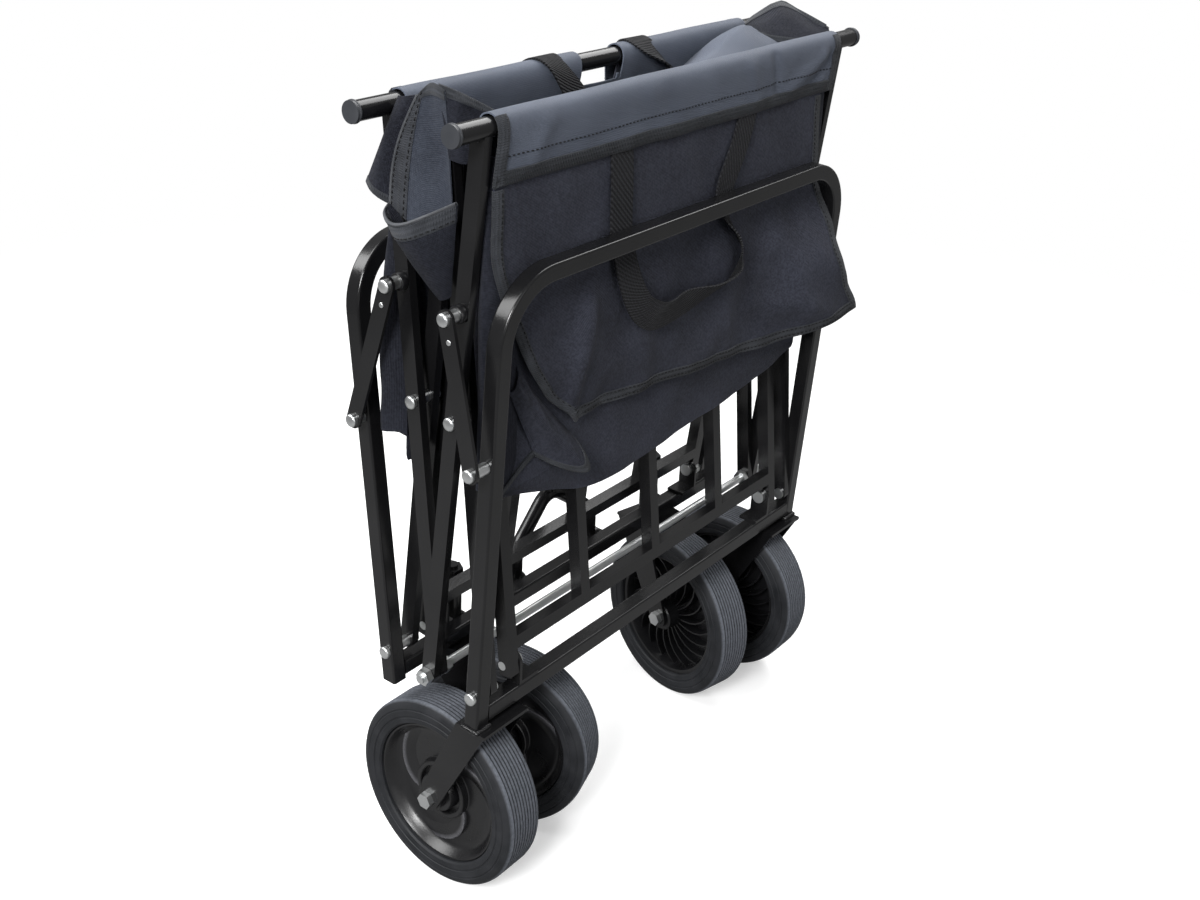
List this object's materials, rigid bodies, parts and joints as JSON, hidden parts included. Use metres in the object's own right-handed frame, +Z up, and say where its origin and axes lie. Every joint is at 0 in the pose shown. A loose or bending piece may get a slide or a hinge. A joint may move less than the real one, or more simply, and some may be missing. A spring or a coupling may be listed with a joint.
{
  "type": "folding wagon",
  "caption": "Folding fabric wagon shown folded, with hooped end frames, scissor sides, hinged ladder floor, fixed rear wheels, swivel casters and a sliding pull handle.",
  "frame": {"origin": "on the floor, straight below the middle of the centre rod", "axes": "+X across the wagon, +Y to the front with the handle and casters, +Z up"},
  "size_m": [0.573, 0.2203, 0.7119],
  "materials": {
    "frame_black": "satin black powder coat",
    "zinc": "bright zinc plate",
    "black_plastic": "matt moulded black",
    "tyre_rubber": "matt grey-black rubber",
    "charcoal_fabric": "charcoal coated weave",
    "black_webbing": "ribbed black webbing"
  },
  "bodies": {
    "middle_rod": {"centre_rod": "zinc"},
    "rear_long_bars": {"rear_long_bar_left": "frame_black", "rear_long_bar_right": "frame_black", "rear_rail": "frame_black", "rear_rail_caps": "black_plastic"},
    "front_long_bars": {"front_long_bar_left": "frame_black", "front_long_bar_right": "frame_black", "front_rail": "frame_black", "front_rail_caps": "black_plastic"},
    "rear_cross_bars": {"rear_cross_bar_left": "frame_black", "rear_cross_bar_right": "frame_black", "rear_rivets": "zinc"},
    "front_cross_bars": {"front_cross_bar_left": "frame_black", "front_cross_bar_right": "frame_black", "front_rivets": "zinc"},
    "rear_frame": {"rear_hoop": "frame_black", "rear_crossbar": "frame_black", "rear_fork_left": "frame_black", "rear_fork_right": "frame_black", "rear_floor_ears": "frame_black", "rear_floor_bolts": "zinc", "rear_axles": "zinc"},
    "front_frame": {"front_hoop": "frame_black", "front_crossbar": "frame_black", "front_floor_ears": "frame_black", "front_floor_bolts": "zinc", "handle_lugs": "frame_black", "caster_sleeves": "frame_black"},
    "rear_link_pair": {"rear_links": "frame_black", "rear_link_rivets": "zinc"},
    "front_link_pair": {"front_links": "frame_black", "front_link_rivets": "zinc"},
    "rear_floor": {"rear_floor_frame": "frame_black"},
    "front_floor": {"front_floor_frame": "frame_black"},
    "rear_end_wall": {"rear_wall": "charcoal_fabric", "rear_flap": "charcoal_fabric", "rear_strap": "black_webbing"},
    "front_end_wall": {"front_wall": "charcoal_fabric"},
    "tub_sides": {"side_panels": "charcoal_fabric", "side_pockets": "charcoal_fabric"},
    "rear_side_edge": {"rear_side_binding": "black_webbing"},
    "front_side_edge": {"front_side_binding": "black_webbing"},
    "tub_floor": {"tub_base": "charcoal_fabric"},
    "rear_base_edge": {"rear_base_hem": "black_webbing"},
    "front_base_edge": {"front_base_hem": "black_webbing"},
    "handle_arm": {"handle_yoke": "frame_black"},
    "handle_top": {"handle_tube": "frame_black", "handle_grip": "black_plastic"},
    "rear_wheel_left": {"rear_left_tyre": "tyre_rubber", "rear_left_rim": "black_plastic"},
    "caster_left": {"caster_fork_left": "frame_black", "caster_axle_left": "zinc"},
    "caster_wheel_left": {"caster_left_tyre": "tyre_rubber", "caster_left_rim": "black_plastic"},
    "rear_wheel_right": {"rear_right_tyre": "tyre_rubber", "rear_right_rim": "black_plastic"},
    "caster_right": {"caster_fork_right": "frame_black", "caster_axle_right": "zinc"},
    "caster_wheel_right": {"caster_right_tyre": "tyre_rubber", "caster_right_rim": "black_plastic"}
  },
  "joints": [
    {"name": "fold", "type": "hinge", "parent": "middle_rod", "child": "rear_long_bars", "pos_m": [0, 0, 0.218], "axis": [1, 0, 0], "range_deg": [0, 42.1]},
    {"name": "front_long_fold", "type": "hinge", "parent": "middle_rod", "child": "front_long_bars", "pos_m": [0, 0, 0.218], "axis": [1, 0, 0], "range_deg": [-42.15, 0]},
    {"name": "rear_cross_fold", "type": "hinge", "parent": "rear_long_bars", "child": "rear_cross_bars", "pos_m": [0, -0.02498, 0.45971], "axis": [1, 0, 0], "range_deg": [-84.25, 0]},
    {"name": "front_cross_fold", "type": "hinge", "parent": "front_long_bars", "child": "front_cross_bars", "pos_m": [0, 0.02498, 0.45971], "axis": [1, 0, 0], "range_deg": [0, 84.25]},
    {"name": "rear_frame_fold", "type": "hinge", "parent": "rear_cross_bars", "child": "rear_frame", "pos_m": [0, -0.04996, 0.218], "axis": [1, 0, 0], "range_deg": [0, 42.15]},
    {"name": "front_frame_fold", "type": "hinge", "parent": "front_cross_bars", "child": "front_frame", "pos_m": [0, 0.04996, 0.218], "axis": [1, 0, 0], "range_deg": [-42.15, 0]},
    {"name": "rear_wall_fold", "type": "hinge", "parent": "rear_long_bars", "child": "rear_end_wall", "pos_m": [0, -0.04924, 0.69446], "axis": [1, 0, 0], "range_deg": [-42.15, 0]},
    {"name": "front_wall_fold", "type": "hinge", "parent": "front_long_bars", "child": "front_end_wall", "pos_m": [0, 0.04924, 0.69446], "axis": [1, 0, 0], "range_deg": [0, 42.15]},
    {"name": "rear_link_fold", "type": "hinge", "parent": "rear_long_bars", "child": "rear_link_pair", "pos_m": [0, -0.03465, 0.55327], "axis": [1, 0, 0], "range_deg": [-115.19, 0]},
    {"name": "front_link_fold", "type": "hinge", "parent": "front_long_bars", "child": "front_link_pair", "pos_m": [0, 0.03528, 0.55942], "axis": [1, 0, 0], "range_deg": [0, 108.78]},
    {"name": "rear_floor_fold", "type": "hinge", "parent": "rear_frame", "child": "rear_floor", "pos_m": [0, -0.0459, 0.226], "axis": [1, 0, 0], "range_deg": [-83.55, 0]},
    {"name": "front_floor_fold", "type": "hinge", "parent": "front_frame", "child": "front_floor", "pos_m": [0, 0.0459, 0.226], "axis": [1, 0, 0], "range_deg": [0, 83.55]},
    {"name": "tub_side_fold", "type": "hinge", "parent": "rear_cross_bars", "child": "tub_sides", "pos_m": [0, 0, 0.70143], "axis": [1, 0, 0], "range_deg": [0, 42.15], "deforming": ["side_panels"]},
    {"name": "rear_side_spread", "type": "slide", "parent": "tub_sides", "child": "rear_side_edge", "axis": [0, -1, 0.0074], "range_m": [0, 0.30694], "deforming": ["rear_side_binding"]},
    {"name": "front_side_spread", "type": "slide", "parent": "tub_sides", "child": "front_side_edge", "axis": [0, 1, 0.0074], "range_m": [0, 0.30694], "deforming": ["front_side_binding"]},
    {"name": "tub_floor_drop", "type": "slide", "parent": "middle_rod", "child": "tub_floor", "axis": [0, 0, -1], "range_m": [0, 0.44152], "deforming": ["tub_base"]},
    {"name": "rear_base_spread", "type": "slide", "parent": "tub_floor", "child": "rear_base_edge", "axis": [0, -0.7321, 0.6812], "range_m": [0, 0.41915], "deforming": ["rear_base_hem"]},
    {"name": "front_base_spread", "type": "slide", "parent": "tub_floor", "child": "front_base_edge", "axis": [0, 0.7321, 0.6812], "range_m": [0, 0.41915], "deforming": ["front_base_hem"]},
    {"name": "rear_wheel_left_roll", "type": "hinge", "parent": "rear_frame", "child": "rear_wheel_left", "pos_m": [-0.227, 0, 0.0886], "axis": [1, 0, 0], "continuous": true},
    {"name": "caster_left_swivel", "type": "hinge", "parent": "front_frame", "child": "caster_left", "pos_m": [-0.155, 0.0659, 0.185], "axis": [0, 0, 1], "range_deg": [-17, 165]},
    {"name": "caster_wheel_left_roll", "type": "hinge", "parent": "caster_left", "child": "caster_wheel_left", "pos_m": [-0.138, 0.0136, 0.0886], "axis": [0.9511, 0.309, 0], "continuous": true},
    {"name": "rear_wheel_right_roll", "type": "hinge", "parent": "rear_frame", "child": "rear_wheel_right", "pos_m": [0.227, 0, 0.0886], "axis": [1, 0, 0], "continuous": true},
    {"name": "caster_right_swivel", "type": "hinge", "parent": "front_frame", "child": "caster_right", "pos_m": [0.155, 0.0659, 0.185], "axis": [0, 0, 1], "range_deg": [-171, 11]},
    {"name": "caster_wheel_right_roll", "type": "hinge", "parent": "caster_right", "child": "caster_wheel_right", "pos_m": [0.14356, 0.01211, 0.0886], "axis": [0.9781, -0.2079, 0], "continuous": true},
    {"name": "handle_swing", "type": "hinge", "parent": "front_frame", "child": "handle_arm", "pos_m": [0, 0.0714, 0.19], "axis": [-1, 0, 0], "range_deg": [0, 100]},
    {"name": "handle_extend", "type": "slide", "parent": "handle_arm", "child": "handle_top", "axis": [0, 0.108, 0.9942], "range_m": [0, 0.205]}
  ],
  "couplings": [
    {"joint": "front_long_fold", "follows": "fold", "ratio": -1},
    {"joint": "rear_cross_fold", "follows": "fold", "ratio": -2},
    {"joint": "front_cross_fold", "follows": "fold", "ratio": 2},
    {"joint": "rear_frame_fold", "follows": "fold", "ratio": 1},
    {"joint": "front_frame_fold", "follows": "fold", "ratio": -1},
    {"joint": "rear_wall_fold", "follows": "fold", "ratio": -1},
    {"joint": "front_wall_fold", "follows": "fold", "ratio": 1},
    {"joint": "rear_link_fold", "follows": "fold", "ratio": -2.7349},
    {"joint": "front_link_fold", "follows": "fold", "ratio": 2.5825},
    {"joint": "rear_floor_fold", "follows": "fold", "ratio": -1.9834},
    {"joint": "front_floor_fold", "follows": "fold", "ratio": 1.9834},
    {"joint": "tub_side_fold", "follows": "fold", "ratio": 1},
    {"joint": "rear_side_spread", "follows": "fold", "m_per_rad": 0.41745},
    {"joint": "front_side_spread", "follows": "fold", "m_per_rad": 0.41745},
    {"joint": "tub_floor_drop", "follows": "fold", "m_per_rad": 0.60061},
    {"joint": "rear_base_spread", "follows": "fold", "m_per_rad": 0.57017},
    {"joint": "front_base_spread", "follows": "fold", "m_per_rad": 0.57017}
  ]
}
